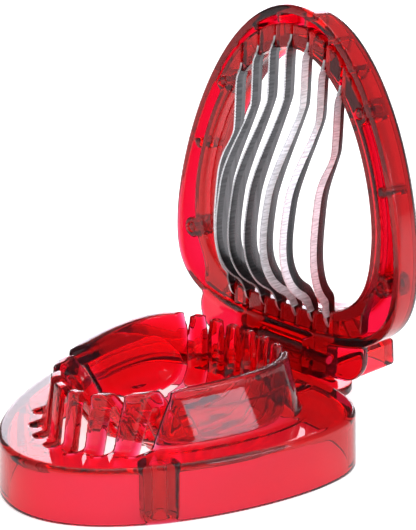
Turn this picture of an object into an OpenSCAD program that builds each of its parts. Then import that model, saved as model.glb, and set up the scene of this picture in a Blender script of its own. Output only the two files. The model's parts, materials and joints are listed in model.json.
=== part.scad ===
// Strawberry-shaped slicer for soft fruit and boiled eggs: a slotted cradle on a hollow base, and a hinged
// lid that carries seven wavy blades. Drawn with the lid standing open, on its stop.

/* [Body] */
// Width of the base and of the lid across the widest part
body_w = 66; // [62:1:72]
// Distance from the widest part to the pointed end
front_len = 51; // [47:1:56]
// Distance from the widest part to the blunt end
back_len = 20; // [18:1:24]
// Height of the base up to its flat top
base_h = 12; // [11:0.5:14]
// Thickness of the moulded walls
wall = 1.8; // [1.2:0.1:2.2]

/* [Cradle] */
// Height of the cradle rim above the surface that the base stands on
cradle_top = 22.7; // [20:0.1:24]
// Height of the cradle floor
floor_z = 5; // [4.5:0.5:6]
// Width of the comb's slots, behind the fruit
slot_w = 1.4; // [1.0:0.1:1.8]
// Width of the slots between the fingers, in front of it
finger_slot_w = 2.2; // [1.6:0.1:2.4]

/* [Lid] */
// Thickness of the lid
lid_h = 8; // [7:0.5:9]
// How far the lid stands open
open_angle = 92.5; // [90:0.5:94]

/* [Blades] */
// Distance between neighbouring blades
pitch = 4.74; // [4.6:0.02:4.9]
// Thickness of a blade
blade_t = 0.5; // [0.4:0.1:0.6]
// Width of a blade from its back to its cutting edge
blade_w = 3.8; // [3:0.1:4]

/* [Hinge] */
// Radius of the hinge pin
pin_r = 1.2; // [1:0.1:1.4]
// Radial clearance of the hinge pin in the lid
pin_gap = 0.05; // [0.03:0.01:0.08]

/* [Hidden] */

blade_n = 7;
half_w = body_w / 2;
wide_y = 16;                        // place of the widest part along the length
tip_y = wide_y - front_len;
back_y = wide_y + back_len;
lid_gap = 0.3;
lid_z = base_h + lid_gap;           // underside of the closed lid
hinge_y = back_y + 3.3;
hinge_z = base_h + 3.3;

// Rim and foot of the cradle: half width, widest place, length forward, length back
rim = [20, 11, 34.5, 15];
foot = [24, 12.5, 37.5, 13.6];
// Hollow of the cradle at its floor and at its waist, and the height of the waist
bowl_floor = [12, 11, 13, 10];
bowl_waist = [17.1, 12, 24.5, 12];
waist_z = 10.4;
mouth_w = 2.8;                      // flared mouths of the comb's slots, and where they start
mouth_z = cradle_top - 4.7;
opening = [24.6, 10, 36, 19];       // hole in the lid
bevel_h = 2.4;                      // bevel around the lid's outer face: height and width
bevel_in = wall;
ring_t = 2.6;                       // thickness of the blade ring
band_w = 2.8;                       // its width along the sides

// Stem, leafy collars and hinge behind the blunt end. Widths are half widths
leaf_w = 24.6;
leaf_t = 1.7;
collar_w = 18;
collar_y = hinge_y + 4.2;
collar_z = 10.4;
collar_t = 2;
stem_w = 10.2;
stem_y = 64;
stem_z = [6.5, 12.7];
knuckle_w = 6.8;
knuckle_r = 3.1;
arm_w = 13;
heel_r = hinge_z - collar_z - 0.1;     // radius of the lid's heel about the hinge

// Bosses in the base
boss_x = 19.2;
boss_y = -16;
boss_r = 3.9;
boss_bore_r = 1.6;

// Belly of a blade: distance from the hinge line against the share of the full depth
belly = [[40, 0.84], [33, 0.96], [27, 1], [22, 0.94], [17.5, 0.74], [14.8, 0.5], [13.4, 0.28]];
blade_depth = [6.8, 11, 12, 12, 12, 11, 6.8];
blade_kink = [45, 51, 53, 54, 53, 51, 45];
blade_rise = 1.6;                   // how far the straight part stands proud of the lid's face
blade_root = 8.2;
blade_tips = [60, 64.4, 67.3, 68.3, 67.3, 64.4, 60];

// The middle of the whole object lies over the origin
mid_y = (tip_y + stem_y) / 2;

// A rounded egg outline: half width, distance forward, distance back
function egg(w, f, b, n = 20) =
    let (right = concat(
        [for (i = [1:n]) let (a = 90 * i / n) [w * sin(a), -f * pow(cos(a), 1.25)]],
        [for (i = [1:n - 1]) let (a = 90 * i / n) [w * pow(cos(a), 2 / 3), b * pow(sin(a), 2 / 3)]]))
    concat([[0, -f]], right, [[0, b]], [for (i = [len(right) - 1:-1:0]) [-right[i][0], right[i][1]]]);

module egg_plate(w, y, f, b, z0, z1, n = 20) {
    translate([0, y, z0]) linear_extrude(z1 - z0) polygon(egg(w, f, b, n));
}

module body_plate(inset, z0, z1) {
    egg_plate(half_w - inset, wide_y, front_len - inset, back_len - inset, z0, z1);
}

// A cup between two egg outlines at different heights
module cup(lower, upper, inset, z0, z1) {
    skin = 0.02;
    hull() {
        egg_plate(lower[0] - inset, lower[1], lower[2] - inset, lower[3] - inset, z0, z0 + skin, 10);
        egg_plate(upper[0] - inset, upper[1], upper[2] - inset, upper[3] - inset, z1 - skin, z1, 10);
    }
}

// Leafy plate: a bar with a round lobe at each end
module leaf_plate(w, y_end, z0, z1) {
    lobe = 6;
    translate([0, 0, z0]) linear_extrude(z1 - z0) union() {
        translate([-w + lobe, back_y - 6]) square([2 * (w - lobe), y_end - back_y + 6]);
        for (side = [-1, 1]) translate([side * (w - lobe), y_end - lobe]) circle(lobe, $fn = 48);
    }
}

module along_x(y, z, x0, x1, r) {
    translate([x0, y, z]) rotate([0, 90, 0]) cylinder(h = x1 - x0, r = r, $fn = 48);
}

module slots(z0, z1, y0, y1) {
    for (i = [0:blade_n - 1]) {
        x = (i - (blade_n - 1) / 2) * pitch;
        // outer slots start further back, parallel to the front edge
        start = y0 + 0.042 * x * x;
        translate([x - finger_slot_w / 2, start, z0]) cube([finger_slot_w, wide_y - start, z1 - z0]);
        translate([x, start, z0]) cylinder(h = z1 - z0, r = finger_slot_w / 2, $fn = 24);
        // slot of the comb, with a flared mouth
        translate([x, y1, 0]) rotate([90, 0, 0]) linear_extrude(y1 - wide_y + 1)
            polygon([[-slot_w / 2, z0], [-slot_w / 2, mouth_z], [-mouth_w / 2, z1], [mouth_w / 2, z1],
                [slot_w / 2, mouth_z], [slot_w / 2, z0]]);
    }
}

// Outline of the hollow at one height, grown outwards
module bowl_plate(sizes, grow, z0, z1) {
    egg_plate(sizes[0] + grow, sizes[1], sizes[2] + grow, sizes[3] + grow, z0, z1, 10);
}

// Room for the fruit, grown by a wall's thickness to leave the floor and walls around it
module cradle_hollow(grow, over) {
    skin = 0.02;
    hull() {
        bowl_plate(bowl_floor, grow, floor_z - grow, floor_z + skin);
        bowl_plate(bowl_waist, grow, waist_z, waist_z + skin);
    }
    hull() {
        bowl_plate(bowl_waist, grow, waist_z, waist_z + skin);
        bowl_plate(rim, grow - wall, cradle_top, cradle_top + 0.1 + over);
    }
}

module base_tray() color([0.78, 0.03, 0.06]) union() {
    difference() {
        union() {
            // skirt and flat top
            difference() {
                body_plate(0, 0, base_h);
                body_plate(wall, -1, base_h - wall);
            }
            // cradle with its raised walls, fingers and comb
            cup(foot, rim, 0, floor_z - wall, cradle_top);
        }
        cradle_hollow(0, 0);
        // space inside the cradle's thin walls, open below
        difference() {
            cup(foot, rim, wall, floor_z - wall - 1, cradle_top - wall);
            cradle_hollow(wall, 1);
        }
        // cutting slots
        slots(floor_z - 3, cradle_top + 1, -27, back_y - 5);
    }
    // bosses on both sides of the front
    for (side = [-1, 1]) translate([side * boss_x, boss_y, 0]) difference() {
        cylinder(h = base_h - wall / 2, r = boss_r, $fn = 48);
        translate([0, 0, -1]) cylinder(h = base_h - wall, r = boss_bore_r, $fn = 48);
    }
    // collar, stem and hinge knuckle behind the blunt end
    difference() {
        union() {
            leaf_plate(collar_w, collar_y + 1, collar_z - collar_t, collar_z);
            translate([-stem_w, collar_y, stem_z[0]]) cube([2 * stem_w, stem_y - collar_y, stem_z[1] - stem_z[0]]);
            along_x(hinge_y, hinge_z, -knuckle_w, knuckle_w, knuckle_r);
            translate([-knuckle_w, hinge_y - knuckle_r, collar_z - 1])
                cube([2 * knuckle_w, 2 * knuckle_r, hinge_z - collar_z + 1]);
        }
        along_x(hinge_y, hinge_z, -knuckle_w - 1, knuckle_w + 1, pin_r);
        translate([-stem_w + wall, collar_y + 1 + wall, stem_z[0] - 1])
            cube([2 * (stem_w - wall), stem_y - collar_y - 1 - 2 * wall, stem_z[1] - stem_z[0] + 1 - wall]);
        body_plate(wall, -1, base_h - wall);
    }
}

// Turns a shape drawn with the lid closed into its open place
module opened() {
    translate([0, hinge_y, hinge_z]) rotate([-open_angle, 0, 0]) translate([0, -hinge_y, -hinge_z]) children();
}

module lid_shell() color([0.78, 0.03, 0.06]) opened() {
    difference() {
        union() {
            body_plate(0, lid_z, lid_z + lid_h - bevel_h);
            hull() {
                body_plate(0, lid_z + lid_h - bevel_h - 0.02, lid_z + lid_h - bevel_h);
                body_plate(bevel_in, lid_z + lid_h - 0.02, lid_z + lid_h);
            }
            // leafy plate on the lid's face, and the block of the hinge arms behind it
            leaf_plate(leaf_w, collar_y - 1.8, lid_z, lid_z + leaf_t);
            translate([-arm_w, back_y - 6, lid_z]) cube([2 * arm_w, collar_y - back_y + 6, lid_h - 1.8]);
        }
        // hole over the cradle
        egg_plate(opening[0], opening[1], opening[2], opening[3], lid_z - 1, lid_z + lid_h + 1);
        // channel around the hole, open towards the base
        difference() {
            body_plate(wall, lid_z - 1, lid_z + lid_h - wall);
            egg_plate(opening[0] + wall, opening[1], opening[2] + wall, opening[3] + wall, lid_z - 2,
                lid_z + lid_h);
            channel_ribs();
            pin_places() cylinder(h = lid_h * 4, r = 2.6, $fn = 40, center = true);
        }
        // seat of the ring that clamps the blade ends
        ring_shape(0);
        // room for the base's knuckle
        translate([-knuckle_w - 0.4, hinge_y - knuckle_r - 0.5, lid_z - 1])
            cube([2 * knuckle_w + 0.8, 20, lid_h + 2]);
        // rounded heel, so that the collar clears the base as the lid swings
        difference() {
            translate([-leaf_w, hinge_y, lid_z - 1]) cube([2 * leaf_w, 10, hinge_z - lid_z + 1]);
            along_x(hinge_y, hinge_z, -leaf_w - 1, leaf_w + 1, heel_r);
        }
        // bore of the hinge
        along_x(hinge_y, hinge_z, -arm_w - 1, arm_w + 1, pin_r + pin_gap);
        // holes of the ring's pins
        pin_places() translate([0, 0, lid_z - 1]) cylinder(h = lid_h - 1.2, r = 1.1, $fn = 32);
    }
}

module channel_ribs() {
    for (a = [6, 18, 28, 140], side = [-1, 1])
        translate([0, wide_y - 8, lid_z - 2]) rotate([0, 0, side * a]) translate([-0.6, -half_w * 2, 0])
            cube([1.2, half_w * 2, lid_h + 2]);
}

// Four places where pins hold the ring
module pin_places() {
    for (side = [-1, 1]) {
        translate([side * 19.6, -15.8, 0]) children();
        translate([side * 28, 18.8, 0]) children();
    }
}

// Loop around the hole, wider at both ends where it holds the blades, with an ear for each pin
module ring_shape(gap) {
    top = lid_z + ring_t - gap;
    intersection() {
        body_plate(wall + 0.6 + gap, lid_z - 0.02, top);
        difference() {
            union() {
                egg_plate(opening[0] + band_w - gap, opening[1], opening[2] + band_w - gap,
                    opening[3] + band_w - gap, lid_z - 1, top);
                intersection() {
                    translate([-half_w, tip_y, lid_z - 1]) cube([body_w, -15.5 - gap - tip_y, ring_t + 2]);
                    egg_plate(opening[0] + 3, opening[1], opening[2] + 5.2 - gap, opening[3], lid_z - 1, top);
                }
                translate([-23.5 + gap, 22, lid_z - 1]) cube([2 * (23.5 - gap), 11.4 - gap, ring_t + 2]);
                pin_places() translate([0, 0, lid_z - 1]) cylinder(h = ring_t + 2, r = 2.2 - gap, $fn = 40);
            }
            egg_plate(opening[0] + gap, opening[1], opening[2] + gap, opening[3] + gap, lid_z - 2, top + 2);
        }
    }
}

// Grooves for the blade ends, open on the lid's face. They leave a thin web behind the blades
module blade_cuts(w) {
    web = 0.5;
    for (i = [0:blade_n - 1]) translate([(i - (blade_n - 1) / 2) * pitch - w / 2, -60, lid_z - 1])
        cube([w, 120, 1 + ring_t - web]);
}

module blade_ring() color([0.6, 0.02, 0.05]) opened() difference() {
    ring_shape(0.05);
    blade_cuts(blade_t + 0.06);
    pin_places() translate([0, 0, lid_z - 1]) cylinder(h = lid_h, r = 1.1, $fn = 32);
}

module ring_pins() color([0.6, 0.02, 0.05]) opened() pin_places() translate([0, 0, lid_z])
    cylinder(h = lid_h - 2.4, r = 1.05, $fn = 32);

module hinge_pin() color([0.75, 0.76, 0.78]) along_x(hinge_y, hinge_z, -arm_w, arm_w, pin_r);

// Outline of one blade: distance from the hinge line, and height over the lid's face
function blade_outline(depth, kink, tip) =
    let (
        sag = [for (p = belly) [p[0], -depth * p[1]]],
        path = concat([[kink, -blade_rise]], sag, [[12.2, -2.1]]),
        back = [for (i = [1:len(path) - 2])
            let (t = path[i - 1] - path[i + 1], n = [-t[1], t[0]] / norm(t)) path[i] + blade_w * n])
    concat(
        [[tip, 0], [tip - 1.4, -0.2], [tip - 3, -blade_rise]],
        path,
        [[10.8, -1.3], [9.2, -0.7], [blade_root, 0.2], [blade_root, 1.9], [11, 1.9], [12.4, 1.6]],
        [for (i = [len(back) - 1:-1:0]) back[i]],
        [[kink + 1, 3 - blade_rise], [tip - 3, 3 - blade_rise], [tip - 2, 1.9], [tip, 1.9]]);

module blade(i) color([0.72, 0.73, 0.75]) opened()
    translate([(i - (blade_n - 1) / 2) * pitch, hinge_y, lid_z]) rotate([90, 0, -90])
        linear_extrude(blade_t, center = true) polygon(blade_outline(blade_depth[i], blade_kink[i], blade_tips[i]));

module placed() translate([0, -mid_y, 0]) children();

placed() base_tray();
placed() lid_shell();
placed() blade_ring();
placed() ring_pins();
placed() hinge_pin();
placed() blade(0);  // blade_1
placed() blade(1);  // blade_2
placed() blade(2);  // blade_3
placed() blade(3);  // blade_4
placed() blade(4);  // blade_5
placed() blade(5);  // blade_6
placed() blade(6);  // blade_7
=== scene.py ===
"""Strawberry-shaped egg slicer: clear red plastic and seven steel blades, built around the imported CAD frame.

Shapes are drawn in mm in the frame's own axes. The lid's pieces are drawn closed and then swung open.
"""

import itertools
import json
import math

import bpy
import numpy as np
import openvdb
from mathutils import Matrix, Vector


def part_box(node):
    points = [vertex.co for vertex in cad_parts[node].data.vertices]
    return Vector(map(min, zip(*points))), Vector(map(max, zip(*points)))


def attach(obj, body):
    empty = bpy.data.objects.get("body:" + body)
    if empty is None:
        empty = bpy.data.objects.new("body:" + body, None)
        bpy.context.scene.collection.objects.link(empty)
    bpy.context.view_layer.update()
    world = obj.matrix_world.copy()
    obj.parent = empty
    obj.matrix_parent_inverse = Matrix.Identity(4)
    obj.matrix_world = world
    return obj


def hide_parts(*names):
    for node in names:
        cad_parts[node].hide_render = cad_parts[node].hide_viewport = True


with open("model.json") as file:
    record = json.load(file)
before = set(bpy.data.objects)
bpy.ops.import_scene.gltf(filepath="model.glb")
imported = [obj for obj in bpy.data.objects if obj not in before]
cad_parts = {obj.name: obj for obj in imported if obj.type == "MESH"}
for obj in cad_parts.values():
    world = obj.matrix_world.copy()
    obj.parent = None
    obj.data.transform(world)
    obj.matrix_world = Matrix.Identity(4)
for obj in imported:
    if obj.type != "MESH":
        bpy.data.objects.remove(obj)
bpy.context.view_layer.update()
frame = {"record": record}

MM = 0.001

# ---------------------------------------------------------------- sizes taken from the frame
BASE_LO, BASE_HI = [[v / MM for v in corner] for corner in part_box("base_tray")]
BLADE_BOXES = [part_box("blade_%d" % i) for i in range(1, 8)]
HINGE = frame["record"]["behaviour"]["joints"][0]
HINGE_Y, HINGE_Z = HINGE["pos_m"][1] / MM, HINGE["pos_m"][2] / MM
OPEN_ANGLE = math.radians(HINGE["range_deg"][1])

HALF_W = BASE_HI[0]
TIP_Y = BASE_LO[1]
STEM_Y = BASE_HI[1]
RIM_Z = BASE_HI[2]
PITCH = (BLADE_BOXES[6][0][0] - BLADE_BOXES[0][0][0]) / 6 / MM

# ---------------------------------------------------------------- the design's other sizes
WALL = 1.8
WIDE_Y = TIP_Y + 51         # widest place of the base and of the lid
BACK_Y = WIDE_Y + 20        # their blunt end
SKIRT_DRAFT = 0.35          # how much further out the skirt's foot stands
DECK_Z = 12.0               # flat top of the base
FLOOR_Z, WAIST_Z = 5.0, 10.4
LID_Z = 12.3                # face of the closed lid
LID_H = 8.0

# Slots: their half width, and what the room between the fingers and the mouths in the comb add to it
SLOT_HALF, FINGER_EXTRA, MOUTH_EXTRA = 0.7, 0.4, 0.6
MOUTH_Z, MOUTH_H = 18, 4.7
SLOT_START, SLOT_END, SLOT_FLOOR_Z = TIP_Y + 8, BACK_Y - 5, 2
SLOT_BEND = 0.042           # times the square of a slot's place, it is how far its start moves back

BOSS, BOSS_R, BOSS_BORE_R = (19.2, TIP_Y + 19), 3.9, 1.6

# Behind the blunt end. A lobe is given by the place of its centre
LOBE_R = 6
COLLAR_LOBE, COLLAR_Z = (12, HINGE_Y - 0.8), (8.4, 10.4)
LEAF_LOBE, LEAF_T = (18.6, HINGE_Y - 3.6), 1.8
STEM_HALF, STEM_Z, STEM_TAPER = 10.2, (6.5, 12.7), 0.4
KNUCKLE_HALF, KNUCKLE_R, KNUCKLE_FOOT_Z, KNUCKLE_ROOM = 6.8, 3.1, 9, 0.4
ARM_HALF, HEEL_R = 13.0, 4.8
ROD_R, ROD_BORE_R = 1.2, 1.25

# Loop that clamps the blade ends, and its pins
LOOP_T, LOOP_BAND, LOOP_MARGIN, LOOP_GAP = 2.6, 2.8, 2.3, 0.08
LOOP_FRONT_Y, LOOP_FRONT_BAND = TIP_Y + 19.5, 5.2
LOOP_REAR_Y, LOOP_REAR_SIDE = TIP_Y + 57, 23.5
GROOVE_HALF, GROOVE_DEPTH = 0.3, 2.1
PINS = [(19.6, TIP_Y + 19.2), (28.0, TIP_Y + 53.8)]
PIN_R, PIN_LENGTH = 1.05, LID_H - 2.6

# Left standing in the lid's channel: ribs, at angles from the front, and a small round post on each side
RIB_ANGLES, RIB_HALF, RIB_CENTRE_Y = (5.5, 16, 26.5, 142), 0.55, WIDE_Y - 8
POST, POST_R = (26.6, TIP_Y + 34.2), 1.2


def egg(half_width, centre_y, forward, back, steps=80):
    """A rounded egg outline, pointed towards -Y."""
    right = []
    for i in range(1, steps + 1):
        a = 0.5 * math.pi * i / steps
        right.append((half_width * math.sin(a), centre_y - forward * max(0.0, math.cos(a)) ** 1.25))
    for i in range(1, steps):
        a = 0.5 * math.pi * i / steps
        right.append((half_width * math.cos(a) ** (2 / 3), centre_y + back * math.sin(a) ** (2 / 3)))
    left = [(-x, y) for x, y in reversed(right)]
    return [(0, centre_y - forward)] + right + [(0, centre_y + back)] + left


BODY = egg(HALF_W, WIDE_Y, 51, 20)
FOOT = egg(24, TIP_Y + 47.5, 37.5, 13.6)        # outside of the cradle at the flat top, and at the rim
RIM = egg(20, TIP_Y + 46, 34.5, 15)
OPENING = egg(24.6, TIP_Y + 45, 36, 19)         # hole of the lid
# Height and outline of the cradle's hollow, upwards
HOLLOW = (
    (FLOOR_Z, egg(12, TIP_Y + 46, 13, 10)),
    (7.4, egg(15.2, TIP_Y + 47.5, 18, 11)),
    (WAIST_Z, egg(17.1, TIP_Y + 47, 24.5, 12)),
    (RIM_Z, egg(18.3, TIP_Y + 46, 32.6, 13.1)),
)


# ---------------------------------------------------------------- distance fields
def flat_distance(outline, x, y):
    """Signed distance in the XY plane to a closed outline, negative inside."""
    shape = np.broadcast(x, y).shape
    best = np.full(shape, 1e9, dtype=np.float32)
    inside = np.zeros(shape, dtype=bool)
    for (ax, ay), (bx, by) in zip(outline, outline[1:] + outline[:1]):
        ex, ey = bx - ax, by - ay
        wx, wy = x - ax, y - ay
        t = np.clip((wx * ex + wy * ey) / (ex * ex + ey * ey), 0, 1)
        best = np.minimum(best, (wx - ex * t) ** 2 + (wy - ey * t) ** 2)
        if abs(ey) > 1e-9:
            inside ^= ((ay > y) != (by > y)) & (x < ex * wy / ey + ax)
    return np.where(inside, -1, 1) * np.sqrt(best)


def both(a, b, r=0.0):
    """Intersection of two fields with an edge radius r."""
    if r == 0:
        return np.maximum(a, b)
    return np.hypot(np.maximum(a + r, 0), np.maximum(b + r, 0)) + np.minimum(np.maximum(a, b) + r, 0) - r


def either(a, b, r=0.0):
    """Union of two fields with a fillet of radius r."""
    return -both(-a, -b, r)


def without(a, b, r=0.0):
    """The first field with the second cut out of it."""
    return both(a, -b, r)


def slab(z, low, high):
    """All that lies between two heights."""
    return np.maximum(low - z, z - high)


def block(x, y, x_half, y_low, y_high, r):
    """Rectangle in plan with rounded corners."""
    qx = np.abs(x) - x_half + r
    qy = np.abs(y - (y_low + y_high) / 2) - (y_high - y_low) / 2 + r
    return np.hypot(np.maximum(qx, 0), np.maximum(qy, 0)) + np.minimum(np.maximum(qx, qy), 0) - r


def column(x, y, place, r):
    """Upright cylinder, mirrored to both sides of the middle."""
    return np.hypot(np.abs(x) - place[0], y - place[1]) - r


def blend_fields(low, high, share):
    return low + (high - low) * share


# ---------------------------------------------------------------- from a field to a mesh
def add_object(name, data):
    made = bpy.data.objects.new(name, data)
    bpy.context.scene.collection.objects.link(made)
    return made


def trilinear(array, points):
    """Values of an array at points that are given in cells."""
    low = np.clip(np.floor(points).astype(int), 0, np.array(array.shape) - 2)
    part = points - low
    total = 0
    for dx, dy, dz in itertools.product((0, 1), repeat=3):
        share = np.abs(1 - dx - part[:, 0]) * np.abs(1 - dy - part[:, 1]) * np.abs(1 - dz - part[:, 2])
        total = total + share * array[low[:, 0] + dx, low[:, 1] + dy, low[:, 2] + dz]
    return total


def solid(name, field, low, high, cell, longest_pull=0.5):
    """Meshes the zero surface of a field. Vertices are pulled onto it and take its normals."""
    axes = [np.arange(a - 3 * cell, b + 4 * cell, cell, dtype=np.float32) for a, b in zip(low, high)]
    values = np.broadcast_to(field(*np.ix_(*axes)), [len(a) for a in axes])
    values = np.ascontiguousarray(values, dtype=np.float32)
    grid = openvdb.FloatGrid(1.0)
    grid.copyFromArray(values)
    points, triangles, quads = grid.convertToPolygons(isovalue=0, adaptivity=0.0)
    points = points.astype(np.float64)
    gradient = np.gradient(values)

    for _ in range(2):
        slope = np.stack([trilinear(g, points) for g in gradient], axis=1)
        pull = trilinear(values, points) / np.maximum((slope * slope).sum(1), 1e-6)
        points -= slope * np.clip(pull, -longest_pull, longest_pull)[:, None]
    slope = np.stack([trilinear(g, points) for g in gradient], axis=1)
    normals = slope / np.maximum(np.linalg.norm(slope, axis=1), 1e-9)[:, None]

    world = points * cell + np.array([a[0] for a in axes])
    faces = [tuple(q) for q in quads.tolist()] + [tuple(t) for t in triangles.tolist()]
    mesh = bpy.data.meshes.new(name)
    mesh.from_pydata((world * MM).tolist(), [], faces)
    first = mesh.polygons[0]
    if Vector(normals[first.vertices[0]]).dot(first.normal) < 0:
        mesh.flip_normals()
    mesh.shade_smooth()
    mesh.normals_split_custom_set_from_vertices([tuple(n) for n in normals])
    return add_object(name, mesh)


def swing_open(piece):
    """Turns a piece drawn with the lid closed to where it is with the lid open."""
    hinge = Vector((0, HINGE_Y * MM, HINGE_Z * MM))
    turn = Matrix.Translation(hinge) @ Matrix.Rotation(-OPEN_ANGLE, 4, "X") @ Matrix.Translation(-hinge)
    piece.data.transform(turn)
    piece.data.update()


# ---------------------------------------------------------------- base
def cradle_hollow(x, y, z):
    """Room for the fruit: egg outlines that widen quickly at the floor and slowly up to the rim."""
    fields = [flat_distance(outline, x, y) for _, outline in HOLLOW]
    found = fields[0]
    for (low, _), (high, _), under, over in zip(HOLLOW[:-1], HOLLOW[1:], fields[:-1], fields[1:]):
        last_share = 1.1 if high > RIM_Z - 1 else 1
        share = np.clip((z - low) / (high - low), 0, last_share)
        found = np.where(z > low, blend_fields(under, over, share), found)
    return both(found, FLOOR_Z - z, 1.0)


def blade_slots(x, y, z):
    """Slots for the blades: wider between the fingers, and with flared mouths at the top of the comb."""
    flare = MOUTH_EXTRA * np.clip((z - MOUTH_Z) / MOUTH_H, 0, 1)
    half = SLOT_HALF + np.where(y < WIDE_Y, FINGER_EXTRA, flare)
    found = None
    for i in range(4):
        centre = i * PITCH
        start = SLOT_START + SLOT_BEND * centre ** 2
        along = np.maximum(np.maximum(start - y, y - SLOT_END), 0)
        one = np.maximum(np.hypot(np.abs(x) - centre, along) - half, SLOT_FLOOR_Z - z)
        found = one if found is None else np.minimum(found, one)
    return found


def skirt_and_cradle(x, y, z, plan):
    """Skirt, flat top and cradle, open below. plan is the distance from the skirt's outer face."""
    outer = both(both(plan, z - DECK_Z, 0.9), -z, 0.3)
    cavity = both(plan + WALL, z - DECK_Z + WALL, 1.0)
    shell = without(outer, cavity, 0.3)
    share = np.clip((z - DECK_Z) / (RIM_Z - DECK_Z), -0.2, 1.05)
    wall_out = blend_fields(flat_distance(FOOT, x, y), flat_distance(RIM, x, y), share)
    mid_wall = wall_out + WALL / 2
    hollow = cradle_hollow(x, y, z)
    shell = without(shell, np.maximum(mid_wall, FLOOR_Z - z))
    skin = both(np.abs(mid_wall) - WALL / 2, DECK_Z - WALL - z)
    lining = both(hollow - WALL, wall_out)
    cradle = both(either(skin, lining, 0.8), z - RIM_Z, 0.5)
    return without(either(shell, cradle, 0.6), hollow, 0.4)


def add_bosses(body, x, y, z):
    """Hollow bosses beside the fingers."""
    boss = both(both(column(x, y, BOSS, BOSS_R), z - DECK_Z + 0.4, 0.3), -z, 0.2)
    bore = both(column(x, y, BOSS, BOSS_BORE_R), z - DECK_Z + WALL, 0.3)
    return without(either(body, boss, 0.4), bore, 0.2)


def add_collar_stem_knuckle(body, x, y, z, plan):
    """What stands behind the blunt end: collar, hollow stem and hinge knuckle."""
    bar = block(x, y, COLLAR_LOBE[0], BACK_Y - 4, HINGE_Y + 5, 2)
    collar = both(either(bar, column(x, y, COLLAR_LOBE, LOBE_R), 1.0), slab(z, *COLLAR_Z), 0.4)
    collar = np.maximum(collar, -plan - WALL * 0.6)
    body = either(body, collar, 0.8)

    taper = STEM_TAPER * (z - STEM_Z[0]) / (STEM_Z[1] - STEM_Z[0])
    stem = both(block(x, y, STEM_HALF - taper, HINGE_Y + 3.6, STEM_Y, 1.0), slab(z, *STEM_Z), 0.9)
    inside = block(x, y, STEM_HALF - WALL, HINGE_Y + 6.4, STEM_Y - WALL, 1.0)
    inside = both(inside, z - STEM_Z[1] + WALL, 0.6)
    body = without(either(body, stem, 0.8), inside, 0.3)

    from_rod = np.hypot(y - HINGE_Y, z - HINGE_Z)
    foot = np.maximum(np.abs(y - HINGE_Y) - KNUCKLE_R, slab(z, KNUCKLE_FOOT_Z, HINGE_Z))
    knuckle = both(either(from_rod - KNUCKLE_R, foot), np.abs(x) - KNUCKLE_HALF, 0.4)
    body = either(body, knuckle, 0.4)
    return without(body, np.maximum(from_rod - ROD_R, np.abs(x) - 8))


def base_field(x, y, z):
    """The whole base, one moulding."""
    plan = flat_distance(BODY, x, y) - SKIRT_DRAFT * np.clip(1 - z / DECK_Z, 0, 1)
    body = skirt_and_cradle(x, y, z, plan)
    body = add_bosses(body, x, y, z)
    body = add_collar_stem_knuckle(body, x, y, z, plan)
    return without(body, blade_slots(x, y, z), 0.2)


# ---------------------------------------------------------------- lid, drawn closed
def loop_seat(x, y, u, opening, plan):
    """Room of the loop that clamps the blade ends. u is the height over the lid's face."""
    front = both(y - LOOP_FRONT_Y, opening - LOOP_FRONT_BAND, 1.0)
    rear = both(np.maximum(np.abs(x) - LOOP_REAR_SIDE, LOOP_REAR_Y - y), plan + LOOP_MARGIN + 0.1, 1.0)
    loop = either(either(opening - LOOP_BAND, front, 1.5), rear, 1.5)
    for pin in PINS:
        loop = either(loop, column(x, y, pin, 2.3), 0.6)
    loop = np.maximum(loop, plan + LOOP_MARGIN)
    return np.maximum(np.maximum(loop, -opening), u - LOOP_T)


def lid_channel(x, y, u, opening, plan):
    """Channel around the hole, open towards the base, with ribs and round posts left standing in it."""
    channel = both(both(plan + 2.0, -(opening - 2.4), 0.5), u - LID_H + WALL, 0.6)
    turn = np.arctan2(np.abs(x), RIB_CENTRE_Y - y)
    reach = np.hypot(x, RIB_CENTRE_Y - y)
    for degrees in RIB_ANGLES:
        channel = without(channel, np.abs(turn - math.radians(degrees)) * reach - RIB_HALF, 0.2)
    for pin in PINS:
        channel = without(channel, column(x, y, pin, 2.4), 0.2)
    return without(channel, column(x, y, POST, POST_R), 0.2)


def lid_field(x, y, z):
    """Lid ring, leafy plate and hinge arms, one moulding."""
    side = np.abs(x)
    u = z - LID_Z
    plan = flat_distance(BODY, x, y)
    opening = flat_distance(OPENING, x, y)
    outer = both(both(plan + 0.05 * u, u - LID_H, 2.6), -u, 0.3)
    hole = opening + 0.25 * np.maximum(u - 5, 0)
    ring = without(outer, hole, 0.8)
    ring = without(ring, lid_channel(x, y, u, opening, plan), 0.25)

    # leafy plate with a lobe on each side, and the block of the hinge arms behind it
    bar = block(x, y, LEAF_LOBE[0], BACK_Y - 6, HINGE_Y + 2.4, 1.5)
    plate = both(either(column(x, y, LEAF_LOBE, LOBE_R), bar, 0.8), slab(u, 0, LEAF_T), 0.5)
    arms = both(block(x, y, ARM_HALF, BACK_Y - 6, HINGE_Y + 4.2, 1.0), slab(u, 0, LID_H - WALL), 0.9)
    body = either(ring, either(plate, arms, 0.6), 0.5)

    # room for the loop and the knuckle, and the rounded heel that clears the base as the lid swings
    body = without(body, loop_seat(x, y, u, opening, plan), 0.1)
    body = without(body, np.maximum(side - KNUCKLE_HALF - KNUCKLE_ROOM, HINGE_Y - 3.6 - y), 0.3)
    from_rod = np.hypot(y - HINGE_Y, z - HINGE_Z)
    heel = np.maximum(np.maximum(HINGE_Y - y, z - HINGE_Z), HEEL_R - from_rod)
    body = without(body, heel, 0.2)
    body = without(body, from_rod - ROD_BORE_R)
    for pin in PINS:
        body = without(body, np.maximum(column(x, y, pin, PIN_R + 0.1), u - PIN_LENGTH - 0.2))
    return body


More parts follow.
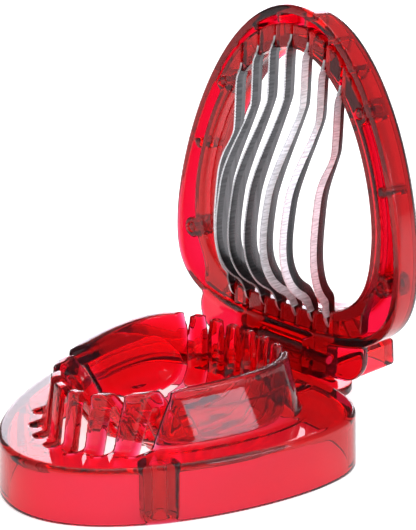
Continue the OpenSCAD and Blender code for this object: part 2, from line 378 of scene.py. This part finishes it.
def ring_field(x, y, z):
    """The loop, with grooves for the blade ends in the lid's face and a hole for each pin."""
    u = z - LID_Z
    plan = flat_distance(BODY, x, y)
    opening = flat_distance(OPENING, x, y)
    ring = both(loop_seat(x, y, u, opening, plan) + LOOP_GAP, -u, 0.25)
    for i in range(4):
        groove = np.maximum(np.abs(np.abs(x) - i * PITCH) - GROOVE_HALF, u - GROOVE_DEPTH)
        ring = without(ring, groove)
    for pin in PINS:
        ring = without(ring, column(x, y, pin, PIN_R + 0.07))
    return ring


# ---------------------------------------------------------------- blades
DEPTHS = (6.8, 11.0, 12.0, 12.0, 12.0, 11.0, 6.8)
# Distance from the hinge line of the place where a blade bends out of its straight part, and of its tip
KINKS = (45, 51, 53, 54, 53, 51, 45)
TIPS = (60.0, 64.4, 67.3, 68.3, 67.3, 64.4, 60.0)
# Belly: distance from the hinge line, and share of the blade's depth
BELLY = ((40, 0.84), (33, 0.96), (27, 1.0), (22, 0.94), (17.5, 0.74), (14.8, 0.5), (13.4, 0.28))
BLADE_T = 0.5
BLADE_W = 3.9
EDGE_H, BACK_H = -1.6, 1.4          # heights of edge and back along the straight part
CLAMPED_H = 1.9                     # height of the back inside the clamp
STATION = 0.3                       # distance between cross sections

# Ground edge: width of the bevel, half thickness at the edge, and depth of the teeth
BEVEL_W, PLAIN_W, EDGE_HALF, TOOTH = 1.9, 0.5, 0.06, 0.16
HONED_SHARE = 0.16                  # part of the bevel that is honed
FACE, BEVEL, HONED = 0, 1, 2        # material slots


def softened(pairs, rounds=3):
    """Corner cutting that keeps both ends."""
    for _ in range(rounds):
        out = [pairs[0]]
        for a, b in zip(pairs[:-1], pairs[1:]):
            out += [a * 0.75 + b * 0.25, a * 0.25 + b * 0.75]
        pairs = out + [pairs[-1]]
    return pairs


def blade_rails(depth, kink, tip):
    """Rows from tip to root, each with a point of the cutting edge and one of the back.

    A point is the distance from the hinge line and the height over the lid's face.
    """
    middle = (tip + kink) / 2
    rows = [
        (tip, 0, tip, CLAMPED_H),
        (tip - 1.3, -0.25, tip - 1.4, CLAMPED_H),
        (tip - 2.2, -1.1, tip - 2.4, CLAMPED_H - 0.1),
        (tip - 3.4, EDGE_H, tip - 3.4, BACK_H),
        (middle, EDGE_H, middle, BACK_H),
        (kink + 2, EDGE_H, kink + 2.6, BACK_H),
        (kink - 0.5, EDGE_H - 0.3, kink + 0.6, BACK_H - 0.2),
    ]
    root = [
        (12.2, -2.1, 12.4, 1.6),
        (10.8, -1.3, 11.0, CLAMPED_H),
        (9.2, -0.7, 9.2, CLAMPED_H),
        (8.2, 0.2, 8.2, CLAMPED_H),
    ]
    path = [(kink, EDGE_H)] + [(along, -depth * share) for along, share in BELLY] + [root[0][:2]]
    for before, here, after in zip(path[:-2], path[1:-1], path[2:]):
        da, dh = before[0] - after[0], before[1] - after[1]
        size = math.hypot(da, dh)
        rows.append((*here, here[0] - BLADE_W * dh / size, here[1] + BLADE_W * da / size))
    return softened([np.array(row, dtype=float) for row in rows + root])


def blade_piece(i, steels):
    """A blade with a ground, finely serrated bevel along its cutting edge."""
    rows = blade_rails(DEPTHS[i], KINKS[i], TIPS[i])
    stations = []
    for a, b in zip(rows[:-1], rows[1:]):
        count = max(1, int(round(math.hypot(b[0] - a[0], b[1] - a[1]) / STATION)))
        stations += [a + (b - a) * k / count for k in range(count)]
    stations.append(rows[-1])

    x = (i - 3) * PITCH
    verts, faces, tones = [], [], []
    for n, row in enumerate(stations):
        edge, across = row[:2], row[2:] - row[:2]
        width = np.linalg.norm(across)
        across /= width
        ground = TIPS[i] - 2.0 > edge[0] > 10.5
        tooth = TOOTH * (n % 2) if ground else 0.0
        bevel = BEVEL_W if ground else PLAIN_W
        thin = EDGE_HALF if ground else BLADE_T / 2
        section = (
            (tooth, thin),
            (bevel * HONED_SHARE + tooth, thin + 0.03 * ground),
            (bevel, BLADE_T / 2),
            (width, BLADE_T / 2),
        )
        for (inwards, half), side in itertools.product(section, (-1, 1)):
            point = edge + across * inwards
            verts.append((x + side * half, HINGE_Y - point[0], LID_Z + point[1]))
    ring = 8
    strips = (
        (0, 2, HONED), (2, 4, BEVEL), (4, 6, FACE), (3, 1, HONED),
        (5, 3, BEVEL), (7, 5, FACE), (1, 0, HONED), (6, 7, FACE),
    )
    last = ring * (len(stations) - 1)
    for a in range(0, last, ring):
        b = a + ring
        for p, q, tone in strips:
            faces.append((a + p, a + q, b + q, b + p))
            tones.append(tone)
    for k in (0, 2, 4):
        faces += [(k, k + 1, k + 3, k + 2), (last + k, last + k + 2, last + k + 3, last + k + 1)]
        tones += [FACE, FACE]

    name = "steel_blade_%d" % (i + 1)
    mesh = bpy.data.meshes.new(name)
    mesh.from_pydata([(a * MM, b * MM, c * MM) for a, b, c in verts], [], faces)
    for steel in steels:
        mesh.materials.append(steel)
    mesh.polygons.foreach_set("material_index", tones)
    mesh.shade_smooth()
    mesh.set_sharp_from_angle(angle=math.radians(7))
    mesh.update()
    return add_object(name, mesh)


# ---------------------------------------------------------------- pins
def turned(name, axis, places, low, high, r, chamfer=0.25, steps=40):
    """Round pins along one axis (0 for X, 2 for Z), all in one mesh.

    places gives the other two coordinates of each.
    """
    verts, faces = [], []
    profile = [
        (low, 0), (low, r - chamfer), (low + chamfer, r),
        (high - chamfer, r), (high, r - chamfer), (high, 0),
    ]
    for p, q in places:
        first = len(verts)
        for along, radius in profile:
            for k in range(steps):
                a = 2 * math.pi * k / steps
                u, v = p + radius * math.cos(a), q + radius * math.sin(a)
                spot = (along, u, v) if axis == 0 else (u, v, along)
                verts.append(tuple(c * MM for c in spot))
        for j in range(len(profile) - 1):
            a, b = first + j * steps, first + (j + 1) * steps
            for k in range(steps):
                n = (k + 1) % steps
                faces.append((a + k, a + n, b + n, b + k))
    mesh = bpy.data.meshes.new(name)
    mesh.from_pydata(verts, [], faces)
    mesh.shade_smooth()
    mesh.set_sharp_from_angle(angle=math.radians(30))
    return add_object(name, mesh)


# ---------------------------------------------------------------- finishes
def finish_of(name, **numbers):
    """A Principled material with the given socket values."""
    material = bpy.data.materials.new(name)
    material.use_nodes = True
    shader = material.node_tree.nodes["Principled BSDF"]
    for key, value in numbers.items():
        shader.inputs[key.replace("_", " ")].default_value = value
    return material, shader


def clear_red(name, red_kept=0.94, ripple=0.0048):
    """Clear red plastic. The colour comes from the depth of plastic that light crosses."""
    material, shader = finish_of(name, Base_Color=(1.0, 0.72, 0.90, 1), Transmission_Weight=0.99, IOR=1.22,
                                 Roughness=0.02, Coat_Weight=0.36, Coat_Roughness=0.04, Coat_IOR=1.4)
    tree = material.node_tree
    absorb = tree.nodes.new("ShaderNodeVolumeAbsorption")
    absorb.inputs["Color"].default_value = (red_kept, 0.04, 0.34, 1)
    absorb.inputs["Density"].default_value = 2300
    tree.links.new(absorb.outputs["Volume"], tree.nodes["Material Output"].inputs["Volume"])
    place = tree.nodes.new("ShaderNodeTexCoord")
    waves = tree.nodes.new("ShaderNodeTexNoise")
    waves.inputs["Scale"].default_value = 160
    waves.inputs["Detail"].default_value = 1.5
    bump = tree.nodes.new("ShaderNodeBump")
    bump.inputs["Strength"].default_value = ripple
    bump.inputs["Distance"].default_value = 0.0003
    tree.links.new(place.outputs["Object"], waves.inputs["Vector"])
    tree.links.new(waves.outputs["Fac"], bump.inputs["Height"])
    tree.links.new(bump.outputs["Normal"], shader.inputs["Normal"])
    return material


def brushed(name, tone, roughness, stretch, scale, depth, contrast):
    """Rolled or ground steel. The lines run across the direction in which stretch is largest."""
    material, shader = finish_of(name, Base_Color=tone, Metallic=1.0, Roughness=roughness)
    tree = material.node_tree
    place = tree.nodes.new("ShaderNodeTexCoord")
    squeeze = tree.nodes.new("ShaderNodeMapping")
    squeeze.inputs["Scale"].default_value = stretch
    lines = tree.nodes.new("ShaderNodeTexNoise")
    lines.inputs["Scale"].default_value = scale
    lines.inputs["Detail"].default_value = 3
    bump = tree.nodes.new("ShaderNodeBump")
    bump.inputs["Strength"].default_value = depth
    bump.inputs["Distance"].default_value = 0.0002
    ramp = tree.nodes.new("ShaderNodeValToRGB")
    dark, light = ramp.color_ramp.elements[0], ramp.color_ramp.elements[1]
    dark.position, light.position = 0.38, 0.58
    dark.color = tuple(c * (1 - contrast) for c in tone[:3]) + (1,)
    light.color = tone
    tree.links.new(place.outputs["Object"], squeeze.inputs["Vector"])
    tree.links.new(squeeze.outputs["Vector"], lines.inputs["Vector"])
    tree.links.new(lines.outputs["Fac"], bump.inputs["Height"])
    tree.links.new(lines.outputs["Fac"], ramp.inputs["Fac"])
    tree.links.new(ramp.outputs["Color"], shader.inputs["Base Color"])
    tree.links.new(bump.outputs["Normal"], shader.inputs["Normal"])
    return material


ROLLED, GROUND, DRAWN = (1, 1, 0.08), (0.1, 0.1, 1), (0.1, 1, 1)
red_base = clear_red("clear_red_base")
red_lid = clear_red("clear_red_lid", 0.91)
red_ring = clear_red("clear_red_ring", 0.91, 0.008)
blade_face = brushed("blade_steel_rolled", (0.14, 0.137, 0.143, 1), 0.26, ROLLED, 900, 0.12, 0.25)
# one ground steel for the bevels in two copies: darkened as painted shade, and lightened as painted highlight
bevel_painted_shade = brushed("blade_steel_bevel_shaded", (0.11, 0.11, 0.115, 1), 0.3, GROUND, 2200, 0.2, 0.35)
bevel_painted_highlight = brushed("blade_steel_bevel_lit", (0.98, 0.98, 1.0, 1), 0.5, GROUND, 3400, 0.3, 0.3)
edge_line = brushed("blade_steel_honed_edge", (0.9, 0.9, 0.92, 1), 0.4, GROUND, 2200, 0.3, 0.2)
pin_steel = brushed("pin_steel", (0.62, 0.62, 0.64, 1), 0.22, DRAWN, 700, 0.1, 0.1)

# ---------------------------------------------------------------- pieces
cell = 0.34
base = solid("base_of_clear_plastic", base_field, (-33.6, TIP_Y - 0.4, 0), (33.6, STEM_Y, RIM_Z), cell)
lid_high = (33, HINGE_Y + 4.5, LID_Z + LID_H)
lid = solid("lid_of_clear_plastic", lid_field, (-33, TIP_Y, LID_Z), lid_high, cell)
ring_low, ring_high = (-31, TIP_Y + 2, LID_Z), (31, BACK_Y - 2, LID_Z + 3)
ring = solid("blade_clamp_ring", ring_field, ring_low, ring_high, cell * 0.85)
pin_spots = [(side * px, py) for px, py in PINS for side in (-1, 1)]
pins = turned("clamp_ring_pins", 2, pin_spots, LID_Z, LID_Z + PIN_LENGTH, PIN_R)
rod = turned("hinge_rod", 0, [(HINGE_Y, HINGE_Z)], -ARM_HALF, ARM_HALF, ROD_R)
# the bevels of blades 5 to 7 get a painted highlight where the light catches them, those of blades 1 to 4
# painted shade
blades = [blade_piece(i, (blade_face, bevel_painted_highlight if i > 3 else bevel_painted_shade, edge_line)) for i in range(7)]

finished = ((base, red_base), (lid, red_lid), (ring, red_ring), (pins, red_ring), (rod, pin_steel))
for piece, material in finished:
    piece.data.materials.append(material)
for piece in (lid, ring, pins, *blades):
    swing_open(piece)
    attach(piece, "lid")
for piece in (base, rod):
    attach(piece, "base")
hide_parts("base_tray")
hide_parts("lid_shell")
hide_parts("blade_ring")
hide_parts("ring_pins")
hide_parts("hinge_pin")
for i, piece in enumerate(blades):
    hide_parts("blade_%d" % (i + 1))

# ---------------------------------------------------------------- studio, in metres
FLOOR_HALF = 4
corners = [(x * FLOOR_HALF, y * FLOOR_HALF, 0) for x, y in ((-1, -1), (1, -1), (1, 1), (-1, 1))]
floor_mesh = bpy.data.meshes.new("studio_floor")
floor_mesh.from_pydata(corners, [], [(0, 1, 2, 3)])
floor = add_object("studio_floor", floor_mesh)
# the floor glows like a light table, so that white shows through the plastic and the gaps in it
white, _ = finish_of("studio_white", Base_Color=(0.8, 0.8, 0.8, 1), Roughness=0.9, Specular_IOR_Level=0.0,
                     Emission_Color=(1, 1, 1, 1), Emission_Strength=0.7)
floor_mesh.materials.append(white)

world = bpy.data.worlds.new("studio")
bpy.context.scene.world = world
world.use_nodes = True
world.node_tree.nodes["Background"].inputs["Color"].default_value = (1, 1, 1, 1)
world.node_tree.nodes["Background"].inputs["Strength"].default_value = 0.3


def point_at(holder, spot, target):
    """Stands a lamp or the camera at a spot and turns it towards a target."""
    holder.location = spot
    holder.rotation_euler = (Vector(target) - Vector(spot)).to_track_quat("-Z", "Y").to_euler()


def softbox(name, spot, target, size, power, tint=(1, 1, 1)):
    lamp = bpy.data.lights.new(name, "AREA")
    lamp.shape = "RECTANGLE"
    lamp.size, lamp.size_y = size
    lamp.energy = power
    lamp.color = tint
    point_at(add_object(name, lamp), spot, target)


softbox("overhead_softbox", (0.05, 0.1, 0.95), (0, 0, 0.03), (0.9, 0.9), 6)
softbox("backdrop_softbox", (-0.8, 0.78, 0.37), (0, 0, 0.04), (0.9, 0.5), 8, (0.92, 0.9, 1))
softbox("right_softbox", (0.95, 0.16, 0.31), (0, 0, 0.04), (0.5, 0.4), 6, (0.88, 0.86, 1))

# ---------------------------------------------------------------- camera, at the angle of the picture
view = bpy.data.cameras.new("camera")
view.lens = 128.2
view.sensor_width = 36
view.sensor_fit = "AUTO"
view.clip_start = 0.01
camera = add_object("camera", view)
point_at(camera, (0.2651, -0.2523, 0.1651), (0.0038, -0.0026, 0.0408))
bpy.context.scene.camera = camera
bpy.context.scene.view_settings.view_transform = "Standard"
